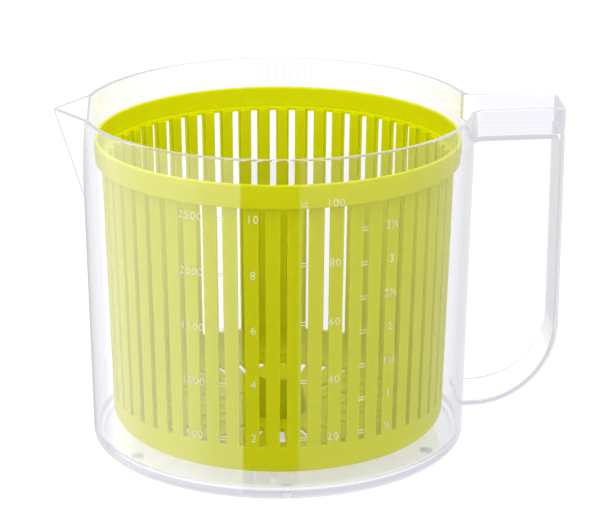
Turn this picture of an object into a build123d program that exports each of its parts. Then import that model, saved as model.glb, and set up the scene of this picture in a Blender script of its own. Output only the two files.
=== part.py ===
"""Salad spinner: a clear measuring jug with a slotted basket that turns on a pin in the jug's floor.

Millimetres. +Z is up and +X runs from the jug's axis towards the handle, so the spout is at -X.
The origin is on the jug's axis, in the plane that the feet stand on.
"""
from build123d import *
from math import cos, pi, radians, sin, sqrt
import os

# ---- jug -----------------------------------------------------------------------------------
jug_height = 153.3        # rim above the worktop
rim_r = 87.0              # outer radius at the rim
base_r = 84.0             # outer radius at the base
jug_wall = 1.9
floor_thickness = 2.2
foot_ring_depth = 0.8     # the ring at the edge of the base stands this far below the floor
foot_ring_width = 4.5
base_corner_r = 3.0
inner_corner_r = 4.0
pivot_boss_r = 7.0
pivot_boss_height = 5.6
lid_seat_depth = 12.0     # straight wall below the rim, and the handle channel's depth
lid_plug_gap = 0.4        # a lid's plug, at full depth, clears the basket's collar by this
rim_round = 0.7

# ---- spout ---------------------------------------------------------------------------------
spout_reach = 12.2        # tip beyond the rim, before its ridge is rounded
spout_width = 45.0        # opening across the rim
spout_height = 43.5
spout_wall = 1.8
spout_ridge_round = 2.5

# ---- handle --------------------------------------------------------------------------------
handle_reach = 39.0       # outer face beyond the rim
handle_root_width = 29.0  # at the jug's wall
handle_end_width = 23.5   # at the outer face
channel_wall = 1.9
strap_thickness = 2.4
strap_low_z = 14.8        # underside of the strap where it meets the jug
strap_foot_run = 1.0      # the strap's foot is straight this far beyond the rim's radius
handle_root_fillet = 6.0
strap_outer_round = 1.0   # long edges of the strap's outer face
strap_inner_round = 0.5

# ---- feet ----------------------------------------------------------------------------------
foot_count = 6
foot_r = 2.8
foot_to_ring_gap = 3.0    # each foot to the ring at the edge of the base
foot_stand = 0.8          # below the jug's foot ring
foot_recess = 0.9         # depth of each foot's seat in the floor
foot_chamfer = 0.5

# ---- pivot ---------------------------------------------------------------------------------
pin_r = 2.5
pin_socket_depth = 4.6    # pressed length in the boss
pin_stand = 14.0          # free length above the boss
running_gap = 0.05        # pin to bearing cap, radial
cap_lift_gap = 0.3        # cap to the top of the boss
cap_flange_r = 9.0
cap_flange_height = 1.8
cap_key_flats = 13.0      # across the flats of the six-sided head
cap_crown = 2.0           # above the end of the pin
key_gap = 0.2             # head to hub socket, all round
seat_gap = 0.2            # hub to cap flange

# ---- basket --------------------------------------------------------------------------------
basket_floor_clearance = 4.1   # above the jug's floor
collar_to_jug_gap = 4.3   # radial, to the straight wall at the jug's mouth
basket_to_jug_gap = 7.4   # radial, at the foot of the basket
collar_height = 10.6
collar_step = 2.4         # the wall steps out this far into the collar, inside and out
collar_lip_r = 0.8
mouth_lip_r = 0.6
basket_wall = 1.6
basket_corner_r = 8.0
basket_floor_thickness = 1.8
slot_count = 54
slot_width = 3.0
slot_turn = 2.1           # degrees, first slot from the line of the handle
slot_foot = 13.9          # solid band below the slots
rib_depth = 1.2           # each bar is this much thicker on the inside
rib_width = 4.7
rib_to_ledge_gap = 0.6    # ribs end this far below the ledge inside the collar
floor_slot_width = 3.0
floor_slot_margin = 12.7  # outer ring of floor slots to the basket's outside
outer_slot_length = 17.0
inner_slot_length = 16.0
slot_ring_gap = 5.0
outer_slot_count = 36
inner_slot_count = 18
hub_wall = 2.2
hub_skirt_gap = 1.2       # hub skirt to cap flange, radial
hub_taper_r = 2.5         # the hub narrows by this towards its top

os.makedirs("parts", exist_ok=True)

# ---- radii and levels that follow from the sizes above ----------------------------------------
land_r = rim_r - jug_wall
foot_circle_r = base_r - foot_ring_width - foot_to_ring_gap - foot_r
collar_r = land_r - collar_to_jug_gap
mouth_r = collar_r - basket_wall
basket_high_r = collar_r - collar_step
basket_low_r = base_r - jug_wall - basket_to_jug_gap
outer_slots_r = basket_low_r - floor_slot_margin
inner_slots_r = outer_slots_r - outer_slot_length - slot_ring_gap
jug_base_z = foot_stand
floor_under_z = jug_base_z + foot_ring_depth
floor_top_z = floor_under_z + floor_thickness
boss_top_z = floor_top_z + pivot_boss_height
cap_base_z = boss_top_z + cap_lift_gap
cap_flange_top_z = cap_base_z + cap_flange_height
pin_top_z = boss_top_z + pin_stand
cap_top_z = pin_top_z + running_gap + cap_crown
hub_seat_z = cap_flange_top_z + seat_gap
hub_top_z = cap_top_z + key_gap + hub_wall
basket_base_z = floor_top_z + basket_floor_clearance
basket_floor_top_z = basket_base_z + basket_floor_thickness
basket_top_z = jug_height - lid_seat_depth - lid_plug_gap
slot_top_z = basket_top_z - collar_height
slot_low_z = basket_base_z + slot_foot
ledge_z = slot_top_z + basket_wall
rib_top_z = ledge_z - rib_to_ledge_gap
handle_end_x = rim_r + handle_reach
strap_bend_r = handle_reach - strap_foot_run
channel_base_z = jug_height - lid_seat_depth - channel_wall
OVERCUT = 5.0             # how far cutting tools run past what they cut


def spin(points):
    """A solid turned about the jug's axis from an outline of (radius, height) points."""
    outline = Polyline([(r, 0, z) for r, z in points], close=True)
    return revolve(make_face(outline), axis=Axis.Z, revolution_arc=360)


def rounded_spin(points, corners):
    """spin(), with the outline's numbered corners rounded: {index: radius}."""
    face = make_face(Polyline([(r, 0, z) for r, z in points], close=True))
    for index, radius in corners.items():
        r, z = points[index]
        corner = face.vertices().sort_by_distance((r, 0, z))[0]
        face = fillet(corner, radius)
    return revolve(face, axis=Axis.Z, revolution_arc=360)


def outer_radius(z):
    """The jug's outer radius at height z."""
    share = (z - jug_base_z) / (jug_height - jug_base_z)
    return base_r + (rim_r - base_r) * share


def basket_radius(z):
    """The slotted wall's outer radius at height z."""
    share = (z - basket_base_z) / (basket_top_z - basket_base_z)
    return basket_low_r + (basket_high_r - basket_low_r) * share


def spout_form(shift, growth):
    """The spout's three-sided pyramid, moved inwards by shift and grown from its low point."""
    low_z = jug_height - spout_height
    low = Vector(-outer_radius(low_z) + 0.2 + shift, 0, low_z)
    side_x = sqrt((rim_r - 0.2) ** 2 - (spout_width / 2) ** 2)
    tip = Vector(-(rim_r + spout_reach) + shift, 0, jug_height)
    left = Vector(-side_x + shift, spout_width / 2, jug_height)
    right = Vector(-side_x + shift, -spout_width / 2, jug_height)
    tip, left, right = (low + (corner - low) * growth for corner in (tip, left, right))
    faces = [
        Face(Wire.make_polygon(corners, close=True))
        for corners in ((tip, left, right), (tip, left, low), (tip, right, low), (left, right, low))
    ]
    return Solid(Shell(faces))


def spout_shift():
    """How far the pyramid moves along +X so that its two sloping faces move in by the wall."""
    low_z = jug_height - spout_height
    side_x = sqrt((rim_r - 0.2) ** 2 - (spout_width / 2) ** 2)
    along_rim = Vector(rim_r + spout_reach - side_x, spout_width / 2, 0)
    along_ridge = Vector(rim_r + spout_reach - outer_radius(low_z) + 0.2, 0, -spout_height)
    normal = along_rim.cross(along_ridge).normalized()
    return spout_wall / abs(normal.X)


def handle_plan(inset, x_near, x_far):
    """The handle's outline from above, narrowing from the jug to its outer face."""
    slope = (handle_root_width - handle_end_width) / 2 / handle_reach

    def half_width(x):
        return handle_end_width / 2 + slope * (handle_end_x - x) - inset

    return make_face(
        Polyline(
            (x_near, -half_width(x_near)),
            (x_far, -half_width(x_far)),
            (x_far, half_width(x_far)),
            (x_near, half_width(x_near)),
            close=True,
        )
    )


def root_edges(solid, low_z):
    """The two upright edges where the channel's sides meet the round wall."""
    found = []
    for edge in solid.edges():
        middle = edge @ 0.5
        upright = abs((edge % 0.5).Z) > 0.9
        if upright and middle.Z > low_z and 0.8 * rim_r < middle.X < rim_r + 1:
            found.append(edge)
    return found


def strap_edges(solid, face_x):
    """The long edges of the strap's face at face_x, straight part and bend."""
    found = []
    for edge in solid.edges():
        middle = edge @ 0.5
        reach = max((edge @ 0).X, (edge @ 1).X)
        beside = abs(middle.Y) > handle_end_width / 3 and middle.Z < channel_base_z - 1
        if beside and abs(reach - face_x) < 0.1 and edge.length > strap_thickness * 4:
            found.append(edge)
    return found


def spout_ridge(solid):
    """The edge from the spout's low point to its tip."""
    low_x = -outer_radius(jug_height - spout_height)
    in_plane = [edge for edge in solid.edges() if abs((edge @ 0.5).Y) < 0.5]
    return [edge for edge in in_plane if (edge @ 0.5).X < low_x]


def rim_edges(solid):
    """Every edge that lies in the plane of the rim."""
    return [
        edge for edge in solid.edges()
        if all(abs((edge @ share).Z - jug_height) < 1e-6 for share in (0, 0.5, 1))
    ]


def strap():
    """The handle's grip: a flat strap down from the channel's end and round to the jug's wall."""
    top_z = channel_base_z + channel_wall
    bend_x = handle_end_x - strap_bend_r
    bend_z = strap_low_z + strap_bend_r
    inner_r = strap_bend_r - strap_thickness
    inner_x = handle_end_x - strap_thickness
    root_x = base_r - jug_wall / 2
    mid = cos(radians(45))
    side = make_face(
        [
            Line((handle_end_x, 0, top_z), (handle_end_x, 0, bend_z)),
            ThreePointArc(
                (handle_end_x, 0, bend_z),
                (bend_x + strap_bend_r * mid, 0, bend_z - strap_bend_r * mid),
                (bend_x, 0, strap_low_z),
            ),
            Line((bend_x, 0, strap_low_z), (root_x, 0, strap_low_z)),
            Line((root_x, 0, strap_low_z), (root_x, 0, strap_low_z + strap_thickness)),
            Line(
                (root_x, 0, strap_low_z + strap_thickness),
                (bend_x, 0, strap_low_z + strap_thickness),
            ),
            ThreePointArc(
                (bend_x, 0, strap_low_z + strap_thickness),
                (bend_x + inner_r * mid, 0, bend_z - inner_r * mid),
                (inner_x, 0, bend_z),
            ),
            Line((inner_x, 0, bend_z), (inner_x, 0, top_z)),
            Line((inner_x, 0, top_z), (handle_end_x, 0, top_z)),
        ]
    )
    slab = extrude(side, amount=handle_root_width, dir=(0, 1, 0), both=True)
    plan = extrude(handle_plan(0, rim_r - 2 * OVERCUT, handle_end_x), amount=jug_height)
    return slab & plan


def jug():
    """The jug, one clear moulding: bowl, spout, channel, handle strap, pivot boss and foot seats."""
    body = rounded_spin(
        [
            (0, floor_under_z),
            (base_r - foot_ring_width, floor_under_z),
            (base_r - foot_ring_width, jug_base_z),
            (base_r, jug_base_z),
            (rim_r, jug_height),
            (0, jug_height),
        ],
        {3: base_corner_r},
    )
    root_x = rim_r - 2 * OVERCUT
    block = Pos(0, 0, channel_base_z) * extrude(
        handle_plan(0, root_x, handle_end_x), amount=jug_height - channel_base_z
    )
    body = body + block
    body = fillet(root_edges(body, channel_base_z), handle_root_fillet)
    body = body + strap() + spout_form(0, 1)
    body = fillet(spout_ridge(body), spout_ridge_round)

    land_z = jug_height - lid_seat_depth
    bowl = rounded_spin(
        [
            (0, floor_top_z),
            (outer_radius(floor_top_z) - jug_wall, floor_top_z),
            (land_r, land_z),
            (0, land_z),
        ],
        {1: inner_corner_r},
    )
    plan = Circle(land_r) + handle_plan(channel_wall, root_x, handle_end_x - channel_wall)
    roots = plan.vertices().filter_by_position(Axis.X, root_x, rim_r)
    plan = fillet(roots, handle_root_fillet + channel_wall)
    mouth = Pos(0, 0, land_z) * extrude(plan, amount=lid_seat_depth + OVERCUT)
    cavity = bowl + mouth
    growth = (spout_height + OVERCUT) / spout_height
    body = body - cavity - spout_form(spout_shift(), growth)
    body = fillet(strap_edges(body, handle_end_x), strap_outer_round)
    body = fillet(strap_edges(body, handle_end_x - strap_thickness), strap_inner_round)
    body = fillet(rim_edges(body), rim_round)

    boss = Pos(0, 0, floor_top_z - 0.5) * extrude(
        Circle(pivot_boss_r), amount=boss_top_z - floor_top_z + 0.5
    )
    body = body + boss
    pin_hole = Pos(0, 0, boss_top_z - pin_socket_depth) * extrude(
        Circle(pin_r), amount=pin_socket_depth + OVERCUT
    )
    body = body - pin_hole
    seat = extrude(Circle(foot_r), amount=floor_under_z + foot_recess)
    for place in foot_places():
        body = body - place * seat
    return body


def foot_places():
    """Where the feet stand, evenly round the base, with one under the jug's front."""
    step = 360 / foot_count
    return [
        Location((foot_circle_r * cos(a), foot_circle_r * sin(a), 0))
        for a in (radians(-90 + step * n) for n in range(foot_count))
    ]


def foot():
    """One soft foot: a disc with a softened lower edge, seated in the jug's floor."""
    disc = extrude(Circle(foot_r), amount=floor_under_z + foot_recess)
    return chamfer(disc.edges().sort_by(Axis.Z)[0], foot_chamfer)


def pivot_pin():
    """The steel pin, pressed in the boss, with a rounded upper end."""
    low_z = boss_top_z - pin_socket_depth
    rod = Pos(0, 0, low_z) * extrude(Circle(pin_r), amount=pin_top_z - low_z)
    return fillet(rod.edges().sort_by(Axis.Z)[-1], 0.6 * pin_r)


def bearing_cap():
    """The cap that turns on the pin: a round flange below a six-sided head."""
    flange = Pos(0, 0, cap_base_z) * extrude(Circle(cap_flange_r), amount=cap_flange_height)
    head = Pos(0, 0, cap_base_z) * extrude(
        RegularPolygon(cap_key_flats / 2, 6, major_radius=False), amount=cap_top_z - cap_base_z
    )
    head = chamfer(head.faces().sort_by(Axis.Z)[-1].edges(), 0.8)
    bore = Pos(0, 0, cap_base_z - OVERCUT) * extrude(
        Circle(pin_r + running_gap), amount=pin_top_z + running_gap - cap_base_z + OVERCUT
    )
    return flange + head - bore


def radial_bars(inner, outer, width, low_z, high_z, count, turn):
    """Straight boxes pointing outwards, evenly round the axis, the first at turn degrees."""
    bar = Pos((inner + outer) / 2, 0, (low_z + high_z) / 2) * Box(
        outer - inner, width, high_z - low_z
    )
    return [Rot(0, 0, turn + 360 * n / count) * bar for n in range(count)]


def basket():
    """The basket, one moulding: collar, slotted wall with inner ribs, slotted floor and hub."""
    low_in = basket_radius(basket_floor_top_z) - basket_wall
    shell = rounded_spin(
        [
            (0, basket_base_z),
            (basket_low_r, basket_base_z),
            (basket_radius(slot_top_z), slot_top_z),
            (collar_r, slot_top_z),
            (collar_r, basket_top_z),
            (mouth_r, basket_top_z),
            (mouth_r, ledge_z),
            (basket_high_r - basket_wall, ledge_z),
            (low_in, basket_floor_top_z),
            (0, basket_floor_top_z),
        ],
        {
            1: basket_corner_r,
            3: collar_lip_r,
            4: collar_lip_r,
            5: mouth_lip_r,
            8: basket_corner_r - basket_wall,
        },
    )
    overlap = 0.4 * basket_wall
    ring = spin(
        [
            (basket_radius(slot_low_z) - basket_wall + overlap, slot_low_z),
            (basket_radius(rib_top_z) - basket_wall + overlap, rib_top_z),
            (basket_radius(rib_top_z) - basket_wall - rib_depth, rib_top_z),
            (basket_radius(slot_low_z) - basket_wall - rib_depth, slot_low_z),
        ]
    )
    groove_width = 2 * pi * basket_radius(slot_top_z) / slot_count - rib_width
    grooves = radial_bars(
        basket_low_r / 2, collar_r + OVERCUT, groove_width,
        slot_low_z - OVERCUT, rib_top_z + OVERCUT, slot_count, slot_turn,
    )
    ribs = ring - grooves
    skirt_r = cap_flange_r + hub_skirt_gap + hub_wall
    hub = spin(
        [
            (0, basket_base_z),
            (skirt_r, basket_base_z),
            (skirt_r, hub_seat_z + hub_wall),
            (skirt_r - hub_taper_r, hub_top_z),
            (0, hub_top_z),
        ]
    )
    skirt_bore = Pos(0, 0, basket_base_z - OVERCUT) * extrude(
        Circle(skirt_r - hub_wall), amount=hub_seat_z - basket_base_z + OVERCUT
    )
    key_socket = Pos(0, 0, hub_seat_z - OVERCUT) * extrude(
        RegularPolygon(cap_key_flats / 2 + key_gap, 6, major_radius=False),
        amount=cap_top_z + key_gap - hub_seat_z + OVERCUT,
    )
    body = shell + ribs + hub - skirt_bore - key_socket
    cuts = radial_bars(
        basket_low_r / 2, collar_r + OVERCUT, slot_width,
        slot_low_z, slot_top_z, slot_count, slot_turn,
    )
    floor_rings = [
        (outer_slots_r, outer_slot_length, outer_slot_count),
        (inner_slots_r, inner_slot_length, inner_slot_count),
    ]
    for outer, length, count in floor_rings:
        cuts += radial_bars(
            outer - length, outer, floor_slot_width,
            basket_base_z - OVERCUT, basket_floor_top_z + OVERCUT, count, 180 / count,
        )
    return body - cuts


export_step(jug(), "parts/jug.step")
export_step(pivot_pin(), "parts/pivot_pin.step")
export_step(bearing_cap(), "parts/bearing_cap.step")
export_step(basket(), "parts/basket.step")
for number, place in enumerate(foot_places(), start=1):
    export_step(place * foot(), f"parts/foot_{number}.step")
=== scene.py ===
"""The looks of a salad spinner: a clear moulded jug with volume marks, and a lime basket in it.

Lengths in this script are millimetres until they reach a mesh, which is in metres.
+X runs towards the handle, -Y towards the marked front, and the jug's axis is Z.
"""
import math

import bmesh
import bpy
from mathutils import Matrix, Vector


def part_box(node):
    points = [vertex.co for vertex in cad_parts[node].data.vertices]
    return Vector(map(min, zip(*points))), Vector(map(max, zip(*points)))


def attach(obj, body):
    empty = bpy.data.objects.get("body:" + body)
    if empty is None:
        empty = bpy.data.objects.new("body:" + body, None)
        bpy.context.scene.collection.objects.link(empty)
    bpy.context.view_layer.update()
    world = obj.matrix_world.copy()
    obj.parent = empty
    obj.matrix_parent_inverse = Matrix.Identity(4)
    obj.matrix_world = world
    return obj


MM = 0.001
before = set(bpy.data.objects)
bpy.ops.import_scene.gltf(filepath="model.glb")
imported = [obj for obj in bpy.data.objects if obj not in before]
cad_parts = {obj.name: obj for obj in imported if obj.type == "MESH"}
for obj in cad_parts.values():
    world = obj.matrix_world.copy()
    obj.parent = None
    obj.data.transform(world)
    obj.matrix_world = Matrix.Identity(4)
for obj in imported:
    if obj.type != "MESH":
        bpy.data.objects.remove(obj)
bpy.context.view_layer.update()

# ---- sizes of the jug that the marks follow ----------------------------------------------
jug_low, jug_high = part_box("jug")
RIM_Z = jug_high.z / MM
BASE_Z = jug_low.z / MM
RIM_R = 87.0            # outer radius at the rim
BASE_R = 84.0           # outer radius at the base

# ---- volume marks --------------------------------------------------------------------------
DIGIT_HEIGHT = 3.6
DIGIT_SPREAD = 1.12     # the digits stand a little apart
DIGIT_SHARE = 0.72      # a digit's height as a share of the font's size
DIGIT_THINNING = 0.05   # the strokes are drawn in by this on each side
MARK_RELIEF = 0.18      # the marks stand this far out of the wall
MARK_SINK = 0.05        # and start this far inside it
MARK_MIDDLE = (MARK_RELIEF - MARK_SINK) / 2
MARK_DEPTH = MARK_RELIEF + MARK_SINK
TICK_LENGTH = 2.8
TICK_STROKE = 0.35
TICK_GAP = 1.3          # between the two strokes of a tick, centre to centre
HALF = "\u00bd"

# Degrees from the front towards the handle, height of the lowest row, row spacing, then numbers.
NUMBER_COLUMNS = [
    (-28.0, 28.6, 24.6, ["500", "1000", "1500", "2000", "2500"]),
    (-10.0, 29.3, 24.5, ["2", "4", "6", "8", "10"]),
    (13.0, 29.4, 26.1, ["20", "40", "60", "80", "100"]),
    (30.7, 29.8, 15.25, [HALF, "1", "1" + HALF, "2", "2" + HALF, "3", "3" + HALF]),
]
# The same, then how many rows.
TICK_COLUMNS = [(-19.0, 28.6, 24.6, 5), (4.3, 29.4, 26.1, 5), (21.7, 29.8, 15.25, 7)]


# ---- nodes and colours ---------------------------------------------------------------------
def linear(code):
    """An sRGB hex colour as linear RGBA."""
    parts = [int(code[i:i + 2], 16) / 255 for i in (0, 2, 4)]
    return (*(c / 12.92 if c <= 0.04045 else ((c + 0.055) / 1.055) ** 2.4 for c in parts), 1.0)


def add(tree, kind, settings=None, **inputs):
    """A new node in tree, with its properties set and its inputs set or linked.

    An input is named by its label with spaces as underscores, or in0, in1 and so on by place.
    """
    node = tree.nodes.new(kind)
    for key, value in (settings or {}).items():
        setattr(node, key, value)
    for key, value in inputs.items():
        if key[:2] == "in" and key[2:].isdigit():
            socket = node.inputs[int(key[2:])]
        else:
            socket = node.inputs[key.replace("_", " ")]
        if isinstance(value, bpy.types.NodeSocket):
            tree.links.new(value, socket)
        else:
            socket.default_value = value
    return node


def pattern_scale(width):
    """The scale of a pattern whose features are this many millimetres wide."""
    return 1 / (width * MM)


def new_material(name):
    """An empty node material and its tree."""
    material = bpy.data.materials.new(name)
    material.use_nodes = True
    material.node_tree.nodes.clear()
    return material, material.node_tree


# ---- materials -----------------------------------------------------------------------------
PAINTED_GLOW_DEPTH = 1.5     # a ray mirrored more often than this inside a wall shows the painted glow on the edges
MIRRORED_DEPTH = 0.5    # and one mirrored more often than this has been mirrored at all
WAVE_LENGTH = math.tau / 20   # between two lines of a wave pattern at scale 1


def see_through(tree, plastic):
    """Lets lamps shine through a clear plastic, and paints a pale grey glow on its edges.

    A ray that has been mirrored twice inside a wall ends on a painted glow, an emission that
    stands in for the faint cold light a clear moulding carries to its edges. Without that they end
    up black.
    """
    path = add(tree, "ShaderNodeLightPath").outputs
    # 1 where a ray ends on the painted glow, else 0
    painted_glow_mask = add(
        tree, "ShaderNodeMath", {"operation": "GREATER_THAN"},
        in0=path["Glossy Depth"], in1=PAINTED_GLOW_DEPTH,
    )
    # painted glow on the edges: a constant pale grey emission, which is no lamp
    painted_edge_glow = add(tree, "ShaderNodeEmission", Color=linear("DAD9E0"), Strength=1.0)
    body = add(
        tree, "ShaderNodeMixShader",
        in0=painted_glow_mask.outputs[0], in1=plastic.outputs[0], in2=painted_edge_glow.outputs[0],
    )
    clear = add(tree, "ShaderNodeBsdfTransparent", Color=linear("F6F6FA"))
    mix = add(
        tree, "ShaderNodeMixShader",
        in0=path["Is Shadow Ray"], in1=body.outputs[0], in2=clear.outputs[0],
    )
    add(tree, "ShaderNodeOutputMaterial", Surface=mix.outputs[0])


def clear_jug_plastic():
    """Clear styrene-acrylonitrile from a polished mould: water-clear, with glassy reflections.

    The cooling moulding keeps faint waves, about 22 mm wide and at most 0.02 mm high.
    """
    material, tree = new_material("clear_san_polished")
    place = add(tree, "ShaderNodeTexCoord").outputs["Object"]
    waves = add(
        tree, "ShaderNodeTexNoise", Vector=place,
        Scale=pattern_scale(22.2), Detail=1.0, Roughness=0.4,
    )
    bump = add(
        tree, "ShaderNodeBump", Height=waves.outputs["Fac"], Strength=1.0, Distance=0.02 * MM
    )
    plastic = add(
        tree,
        "ShaderNodeBsdfPrincipled",
        Base_Color=linear("FBFBFE"),
        Roughness=0.015,
        IOR=1.57,
        Transmission_Weight=1.0,
        Normal=bump.outputs["Normal"],
    )
    # see_through also paints a pale grey glow on the jug's edges, an emission that is no lamp
    see_through(tree, plastic)
    return material


def mark_plastic():
    """The same clear plastic where the mould is etched: the raised marks are frosted and pale.

    The pits of an etched face are well under 0.1 mm wide, and are drawn 0.4 mm wide to show.
    """
    material, tree = new_material("clear_san_etched")
    place = add(tree, "ShaderNodeTexCoord").outputs["Object"]
    frost = add(tree, "ShaderNodeTexNoise", Vector=place, Scale=pattern_scale(0.4), Detail=2.0)
    bump = add(
        tree, "ShaderNodeBump", Height=frost.outputs["Fac"], Strength=0.6, Distance=0.02 * MM
    )
    plastic = add(
        tree,
        "ShaderNodeBsdfPrincipled",
        Base_Color=linear("F4F6EE"),
        Roughness=0.3,
        IOR=1.57,
        Transmission_Weight=0.82,
        Normal=bump.outputs["Normal"],
    )
    # see_through also paints a pale grey glow on the marks' edges, an emission that is no lamp
    see_through(tree, plastic)
    return material


def basket_plastic():
    """Lime polypropylene, injection moulded: waxy, slightly see-through, with a soft gloss.

    The colour clouds by a trace where the melt has flowed, every 33 mm or so. The mould's
    own grain is well under 0.1 mm wide, and is drawn 1.1 mm wide to show.
    """
    material, tree = new_material("lime_polypropylene_moulded")
    place = add(tree, "ShaderNodeTexCoord").outputs["Object"]
    clouds = add(
        tree, "ShaderNodeTexNoise", Vector=place,
        Scale=pattern_scale(33.3), Detail=3.0, Roughness=0.5,
    )
    colour = add(
        tree,
        "ShaderNodeMix",
        {"data_type": "RGBA"},
        Factor=clouds.outputs["Fac"],
        in6=linear("CDD000"),
        in7=linear("D2D400"),
    )
    grain = add(
        tree, "ShaderNodeTexNoise", Vector=place, Scale=pattern_scale(1.11), Detail=2.0
    )
    bump = add(
        tree, "ShaderNodeBump", Height=grain.outputs["Fac"], Strength=0.4, Distance=0.03 * MM
    )
    plastic = add(
        tree,
        "ShaderNodeBsdfPrincipled",
        Base_Color=colour.outputs[2],
        Roughness=0.42,
        IOR=1.49,
        Specular_IOR_Level=0.06,
        Subsurface_Weight=0.9,
        Subsurface_Radius=(1.0, 0.9, 0.05),
        Subsurface_Scale=3.0 * MM,
        Normal=bump.outputs["Normal"],
    )
    add(tree, "ShaderNodeOutputMaterial", Surface=plastic.outputs[0])
    return material


def pin_steel():
    """Ground stainless steel: bright, with fine lines round the pin.

    Grinding leaves lines about 0.05 mm apart, and they are drawn 0.35 mm apart to show.
    """
    material, tree = new_material("stainless_steel_ground")
    place = add(tree, "ShaderNodeTexCoord").outputs["Object"]
    lines = add(
        tree, "ShaderNodeTexWave", {"bands_direction": "Z"}, Vector=place,
        Scale=pattern_scale(0.349) * WAVE_LENGTH, Distortion=2.0,
    )
    bump = add(
        tree, "ShaderNodeBump", Height=lines.outputs["Fac"], Strength=0.3, Distance=0.01 * MM
    )
    steel = add(
        tree,
        "ShaderNodeBsdfPrincipled",
        Base_Color=linear("C8C8CA"),
        Metallic=1.0,
        Roughness=0.22,
        Normal=bump.outputs["Normal"],
    )
    add(tree, "ShaderNodeOutputMaterial", Surface=steel.outputs[0])
    return material


def cap_acetal():
    """White acetal, moulded: dense, slippery and slightly waxy.

    Its grain is well under 0.1 mm wide, and is drawn 1.4 mm wide to show.
    """
    material, tree = new_material("white_acetal_moulded")
    place = add(tree, "ShaderNodeTexCoord").outputs["Object"]
    grain = add(
        tree, "ShaderNodeTexNoise", Vector=place, Scale=pattern_scale(1.43), Detail=2.0
    )
    bump = add(
        tree, "ShaderNodeBump", Height=grain.outputs["Fac"], Strength=0.4, Distance=0.02 * MM
    )
    plastic = add(
        tree,
        "ShaderNodeBsdfPrincipled",
        Base_Color=linear("F2F1EC"),
        Roughness=0.42,
        IOR=1.48,
        Subsurface_Weight=0.1,
        Subsurface_Scale=1.0 * MM,
        Normal=bump.outputs["Normal"],
    )
    add(tree, "ShaderNodeOutputMaterial", Surface=plastic.outputs[0])
    return material


def foot_silicone():
    """Clear silicone, moulded: milky white in the mass, soft and matt.

    Its grain is well under 0.1 mm wide, and is drawn 0.8 mm wide to show.
    """
    material, tree = new_material("clear_silicone_moulded")
    place = add(tree, "ShaderNodeTexCoord").outputs["Object"]
    grain = add(
        tree, "ShaderNodeTexNoise", Vector=place, Scale=pattern_scale(0.833), Detail=2.0
    )
    bump = add(
        tree, "ShaderNodeBump", Height=grain.outputs["Fac"], Strength=0.5, Distance=0.02 * MM
    )
    rubber = add(
        tree,
        "ShaderNodeBsdfPrincipled",
        Base_Color=linear("FAFAFB"),
        Roughness=0.45,
        IOR=1.41,
        Subsurface_Weight=0.3,
        Subsurface_Scale=1.0 * MM,
        Normal=bump.outputs["Normal"],
    )
    add(tree, "ShaderNodeOutputMaterial", Surface=rubber.outputs[0])
    return material


def seen_in_gloss(tree):
    """1 for a ray that a glossy face has sent on, else 0."""
    depth = add(tree, "ShaderNodeLightPath").outputs["Glossy Depth"]
    mirrored = add(
        tree, "ShaderNodeMath", {"operation": "GREATER_THAN"}, in0=depth, in1=MIRRORED_DEPTH
    )
    return mirrored.outputs[0]


def floor_acrylic():
    """Opal acrylic of a light table: white, evenly lit from below, with a matt face.

    What mirrors the table mirrors the studio's screens in its place. The grain of the
    face is well under 0.1 mm wide, and is drawn 2.5 mm wide to show.
    """
    material, tree = new_material("opal_acrylic_light_table")
    place = add(tree, "ShaderNodeTexCoord").outputs["Object"]
    grain = add(
        tree, "ShaderNodeTexNoise", Vector=place, Scale=pattern_scale(2.5), Detail=3.0
    )
    bump = add(
        tree, "ShaderNodeBump", Height=grain.outputs["Fac"], Strength=0.1, Distance=0.05 * MM
    )
    sheet = add(
        tree,
        "ShaderNodeBsdfPrincipled",
        Base_Color=linear("A0A0A0"),
        Roughness=0.9,
        Emission_Color=(1, 1, 1, 1),
        Emission_Strength=0.7,
        Normal=bump.outputs["Normal"],
    )
    mirrored = seen_in_gloss(tree)
    away = add(tree, "ShaderNodeBsdfTransparent", Color=(1, 1, 1, 1))
    mix = add(
        tree, "ShaderNodeMixShader", in0=mirrored, in1=sheet.outputs[0], in2=away.outputs[0]
    )
    add(tree, "ShaderNodeOutputMaterial", Surface=mix.outputs[0])
    return material


# ---- the CAD nodes' finishes -----------------------------------------------------------------
def finish_node(name, material):
    """Gives a CAD node its material."""
    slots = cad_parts[name].data.materials
    slots.clear()
    slots.append(material)


finish_node("jug", clear_jug_plastic())
finish_node("basket", basket_plastic())
finish_node("pivot_pin", pin_steel())
finish_node("bearing_cap", cap_acetal())
FOOT_RUBBER = foot_silicone()
for node_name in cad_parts:
    if node_name.startswith("foot_"):
        finish_node(node_name, FOOT_RUBBER)


# ---- volume marks on the jug's front --------------------------------------------------------
FLARE = (RIM_R - BASE_R) / (RIM_Z - BASE_Z)


def wall_r(z):
    """The jug's outer radius at height z."""
    return BASE_R + FLARE * (z - BASE_Z)


def add_piece(name, mesh, material, body):
    """A finished mesh as a piece that rides a body, with the given material in its slot."""
    mesh.materials.clear()
    mesh.materials.append(material)
    piece = bpy.data.objects.new(name, mesh)
    bpy.context.scene.collection.objects.link(piece)
    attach(piece, body)


def solid_mesh(source):
    """The evaluated mesh of a text or of an object with a modifier, which is then removed."""
    bpy.context.scene.collection.objects.link(source)
    evaluated = source.evaluated_get(bpy.context.evaluated_depsgraph_get())
    mesh = bpy.data.meshes.new_from_object(evaluated)
    source.modifiers.clear()
    bpy.data.objects.remove(source)
    return mesh


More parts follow.
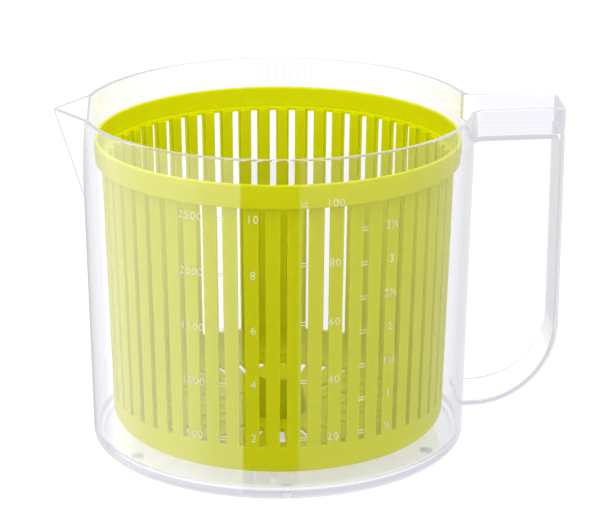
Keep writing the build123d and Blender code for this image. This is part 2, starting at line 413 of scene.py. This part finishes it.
def number_mesh(text):
    """A raised number lying flat round the origin, in millimetres, with its face towards +Z."""
    letters = bpy.data.curves.new("number", "FONT")
    letters.body = text
    letters.align_x = "CENTER"
    letters.align_y = "CENTER"
    letters.size = DIGIT_HEIGHT / DIGIT_SHARE
    letters.space_character = DIGIT_SPREAD
    letters.offset = -DIGIT_THINNING
    letters.extrude = MARK_DEPTH / 2
    letters.resolution_u = 3
    mesh = solid_mesh(bpy.data.objects.new("number", letters))
    bpy.data.curves.remove(letters)
    return mesh


def make_numbers(material):
    """All the numbers, bent round the jug's wall, as one piece."""
    shapes = bmesh.new()
    for degrees, lowest, spacing, numbers in NUMBER_COLUMNS:
        for row, text in enumerate(numbers):
            mesh = number_mesh(text)
            for point in mesh.vertices:
                z = lowest + row * spacing + point.co.y
                r = wall_r(z) + point.co.z + MARK_MIDDLE
                turn = math.radians(degrees) + point.co.x / wall_r(z)
                point.co = Vector((r * math.sin(turn), -r * math.cos(turn), z)) * MM
            shapes.from_mesh(mesh)
            bpy.data.meshes.remove(mesh)
    bmesh.ops.remove_doubles(shapes, verts=shapes.verts, dist=0.001 * MM)
    bmesh.ops.recalc_face_normals(shapes, faces=shapes.faces)
    whole = bpy.data.meshes.new("volume_numbers")
    shapes.to_mesh(whole)
    shapes.free()
    add_piece("volume_numbers", whole, material, "jug_body")


def tick_tree(material):
    """Geometry nodes for one column of ticks: pairs of short strokes up the jug's wall."""
    tree = bpy.data.node_groups.new("tick_column", "GeometryNodeTree")
    sockets = [("Rows", "Int")] + [
        (name, "Float")
        for name in (
            "Lowest", "Spacing", "Turn", "Radius", "Flare",
            "Stroke Length", "Stroke Width", "Stroke Depth", "Pair Gap",
        )
    ]
    tree.interface.new_socket("Geometry", in_out="INPUT", socket_type="NodeSocketGeometry")
    for name, kind in sockets:
        tree.interface.new_socket(name, in_out="INPUT", socket_type="NodeSocket" + kind)
    tree.interface.new_socket("Geometry", in_out="OUTPUT", socket_type="NodeSocketGeometry")
    sizes = add(tree, "NodeGroupInput").outputs
    stroke_size = add(
        tree, "ShaderNodeCombineXYZ",
        X=sizes["Stroke Length"], Y=sizes["Stroke Depth"], Z=sizes["Stroke Width"],
    )
    stroke = add(tree, "GeometryNodeMeshCube", Size=stroke_size.outputs[0])
    half_gap = add(
        tree, "ShaderNodeMath", {"operation": "MULTIPLY"}, in0=sizes["Pair Gap"], in1=-0.5
    )
    pair_start = add(tree, "ShaderNodeCombineXYZ", Z=half_gap.outputs[0])
    pair_step = add(tree, "ShaderNodeCombineXYZ", Z=sizes["Pair Gap"])
    pair_line = add(
        tree, "GeometryNodeMeshLine", Count=2,
        Start_Location=pair_start.outputs[0], Offset=pair_step.outputs[0],
    )
    pair = add(
        tree, "GeometryNodeInstanceOnPoints", Points=pair_line.outputs[0],
        Instance=stroke.outputs["Mesh"],
    )
    front = add(tree, "ShaderNodeMath", {"operation": "MULTIPLY"}, in0=sizes["Radius"], in1=-1.0)
    start = add(tree, "ShaderNodeCombineXYZ", Y=front.outputs[0], Z=sizes["Lowest"])
    widening = add(
        tree, "ShaderNodeMath", {"operation": "MULTIPLY"}, in0=sizes["Spacing"], in1=sizes["Flare"]
    )
    outward = add(
        tree, "ShaderNodeMath", {"operation": "MULTIPLY"}, in0=widening.outputs[0], in1=-1.0
    )
    step = add(tree, "ShaderNodeCombineXYZ", Y=outward.outputs[0], Z=sizes["Spacing"])
    rows = add(
        tree, "GeometryNodeMeshLine", Count=sizes["Rows"],
        Start_Location=start.outputs[0], Offset=step.outputs[0],
    )
    ticks = add(
        tree, "GeometryNodeInstanceOnPoints", Points=rows.outputs[0],
        Instance=pair.outputs["Instances"],
    )
    turn = add(tree, "ShaderNodeCombineXYZ", Z=sizes["Turn"])
    turned = add(
        tree, "GeometryNodeTransform", Geometry=ticks.outputs["Instances"], Rotation=turn.outputs[0]
    )
    real = add(tree, "GeometryNodeRealizeInstances", Geometry=turned.outputs[0])
    finished = add(
        tree, "GeometryNodeSetMaterial", Geometry=real.outputs[0], Material=material
    )
    add(tree, "NodeGroupOutput", Geometry=finished.outputs[0])
    return tree


def make_ticks(material):
    """All the ticks as one piece, a column at a time from one node tree."""
    tree = tick_tree(material)
    names = {item.name: item.identifier for item in tree.interface.items_tree}
    shapes = bmesh.new()
    for degrees, lowest, spacing, rows in TICK_COLUMNS:
        mesh = bpy.data.meshes.new("ticks")
        column = bpy.data.objects.new("ticks", mesh)
        nodes = column.modifiers.new("tick_column", "NODES")
        nodes.node_group = tree
        sizes = {
            "Lowest": lowest * MM,
            "Spacing": spacing * MM,
            "Turn": math.radians(degrees),
            "Radius": (wall_r(lowest) + MARK_MIDDLE) * MM,
            "Flare": FLARE,
            "Stroke Length": TICK_LENGTH * MM,
            "Stroke Width": TICK_STROKE * MM,
            "Stroke Depth": MARK_DEPTH * MM,
            "Pair Gap": TICK_GAP * MM,
            "Rows": rows,
        }
        for name, value in sizes.items():
            nodes[names[name]] = value
        made = solid_mesh(column)
        shapes.from_mesh(made)
        bpy.data.meshes.remove(made)
        bpy.data.meshes.remove(mesh)
    whole = bpy.data.meshes.new("volume_ticks")
    shapes.to_mesh(whole)
    shapes.free()
    add_piece("volume_ticks", whole, material, "jug_body")


MARK_PLASTIC = mark_plastic()
make_numbers(MARK_PLASTIC)
make_ticks(MARK_PLASTIC)


# ---- floor, light and camera -------------------------------------------------------------------
# The stage is in metres.
FLOOR_HALF = 3.0
LAMP_SIZE = (0.5, 0.3)
LAMP_PLACE = (-0.05, -0.3, 0.46)
LAMP_AIM = (0, 0, 0.1)
LAMP_POWER = 1.05
SURROUND = 1.02         # brightness of the light from all round

# The band of screens: degrees from the front towards the handle, and brightness.
SCREENS = [
    (-180, 0.45), (-168, 0.6), (-155, 0.9), (-135, 1.0), (-115, 2.0), (-60, 2.1), (-42, 1.5),
    (-24.5, 1.4), (-24, 0.01), (9.5, 0.01), (10, 0.5), (90, 0.65), (170, 0.9), (180, 0.6),
]
SCREEN_SCALE = 3.0      # the ramp's stops hold each brightness divided by this
# The band's upper and lower edges: the sines of the elevations where it begins and is full.
BAND_TOP = (-0.15, -0.19)
BAND_FOOT = (-0.54, -0.5)


def make_floor():
    """A large pale light table under the feet."""
    half = FLOOR_HALF
    mesh = bpy.data.meshes.new("floor")
    mesh.from_pydata(
        [(-half, -half, 0), (half, -half, 0), (half, half, 0), (-half, half, 0)], [], [(0, 1, 2, 3)]
    )
    mesh.materials.append(floor_acrylic())
    floor = bpy.data.objects.new("floor", mesh)
    bpy.context.scene.collection.objects.link(floor)


def make_lamp():
    """A large softbox overhead and a little in front, which lights the basket's top the most."""
    data = bpy.data.lights.new("softbox", "AREA")
    data.shape = "RECTANGLE"
    data.size, data.size_y = LAMP_SIZE
    data.energy = LAMP_POWER
    lamp = bpy.data.objects.new("softbox", data)
    bpy.context.scene.collection.objects.link(lamp)
    lamp.location = LAMP_PLACE
    aim = Vector(LAMP_AIM) - lamp.location
    lamp.rotation_mode = "QUATERNION"
    lamp.rotation_quaternion = aim.to_track_quat("-Z", "Y")
    lamp.visible_camera = False


def make_world():
    """Soft white light from all round, and for mirrored rays a low band of screens with a gap.

    The jug's upright wall mirrors the band, and the bright screen lays a white veil on its left.
    """
    world = bpy.data.worlds.new("studio")
    bpy.context.scene.world = world
    world.use_nodes = True
    tree = world.node_tree
    tree.nodes.clear()
    way = add(tree, "ShaderNodeTexCoord").outputs["Generated"]
    parts = add(tree, "ShaderNodeSeparateXYZ", Vector=way)
    front = add(tree, "ShaderNodeMath", {"operation": "MULTIPLY"}, in0=parts.outputs["Y"], in1=-1.0)
    turn = add(
        tree, "ShaderNodeMath", {"operation": "ARCTAN2"},
        in0=parts.outputs["X"], in1=front.outputs[0],
    )
    degrees = add(tree, "ShaderNodeMath", {"operation": "DEGREES"}, in0=turn.outputs[0])
    ramp_place = add(
        tree,
        "ShaderNodeMapRange",
        Value=degrees.outputs[0],
        From_Min=-180.0,
        From_Max=180.0,
    )
    screens = add(tree, "ShaderNodeValToRGB", Fac=ramp_place.outputs[0])
    curve = screens.color_ramp
    while len(curve.elements) > 1:
        curve.elements.remove(curve.elements[-1])
    for index, (angle, level) in enumerate(SCREENS):
        spot = (angle + 180) / 360
        stop = curve.elements[0] if index == 0 else curve.elements.new(spot)
        stop.position = spot
        stop.color = (*[level / SCREEN_SCALE] * 3, 1)
    band = add(tree, "ShaderNodeBackground", Color=screens.outputs["Color"], Strength=SCREEN_SCALE)
    round_about = add(tree, "ShaderNodeBackground", Color=(1, 1, 1, 1), Strength=SURROUND)
    top = add(
        tree, "ShaderNodeMapRange", Value=parts.outputs["Z"],
        From_Min=BAND_TOP[0], From_Max=BAND_TOP[1],
    )
    foot = add(
        tree, "ShaderNodeMapRange", Value=parts.outputs["Z"],
        From_Min=BAND_FOOT[0], From_Max=BAND_FOOT[1],
    )
    share = add(
        tree, "ShaderNodeMath", {"operation": "MULTIPLY"}, in0=top.outputs[0], in1=foot.outputs[0]
    )
    mirrored = add(
        tree, "ShaderNodeMath", {"operation": "MULTIPLY"},
        in0=share.outputs[0], in1=seen_in_gloss(tree),
    )
    mix = add(
        tree, "ShaderNodeMixShader", in0=mirrored.outputs[0], in1=round_about.outputs[0],
        in2=band.outputs[0],
    )
    add(tree, "ShaderNodeOutputWorld", Surface=mix.outputs[0])


# The camera, in millimetres and degrees.
CAMERA_DISTANCE = 1125.0
CAMERA_AZIMUTH = -3.0
CAMERA_ELEVATION = 18.73
CAMERA_DROP = 76.0      # the camera looks this far below the rim
CAMERA_SENSOR = 36.0
CAMERA_LENS = 150.0
CAMERA_SHIFT = (0.0367, 0.0173)


def make_camera():
    """A long lens, a little above the jug's rim, with the jug a little left of the middle."""
    data = bpy.data.cameras.new("camera")
    camera = bpy.data.objects.new("camera", data)
    bpy.context.scene.collection.objects.link(camera)
    bpy.context.scene.camera = camera
    turn = math.radians(CAMERA_AZIMUTH)
    rise = math.radians(CAMERA_ELEVATION)
    back = Vector(
        (math.sin(turn) * math.cos(rise), -math.cos(turn) * math.cos(rise), math.sin(rise))
    )
    target = Vector((0, 0, RIM_Z - CAMERA_DROP)) * MM
    camera.location = target + back * CAMERA_DISTANCE * MM
    camera.rotation_mode = "QUATERNION"
    camera.rotation_quaternion = (-back).to_track_quat("-Z", "Y")
    data.sensor_width = CAMERA_SENSOR
    data.lens = CAMERA_LENS
    data.shift_x, data.shift_y = CAMERA_SHIFT
    data.clip_start = 0.01
    data.clip_end = 20.0


make_floor()
make_lamp()
make_world()
make_camera()
bpy.context.scene.view_settings.view_transform = "Standard"
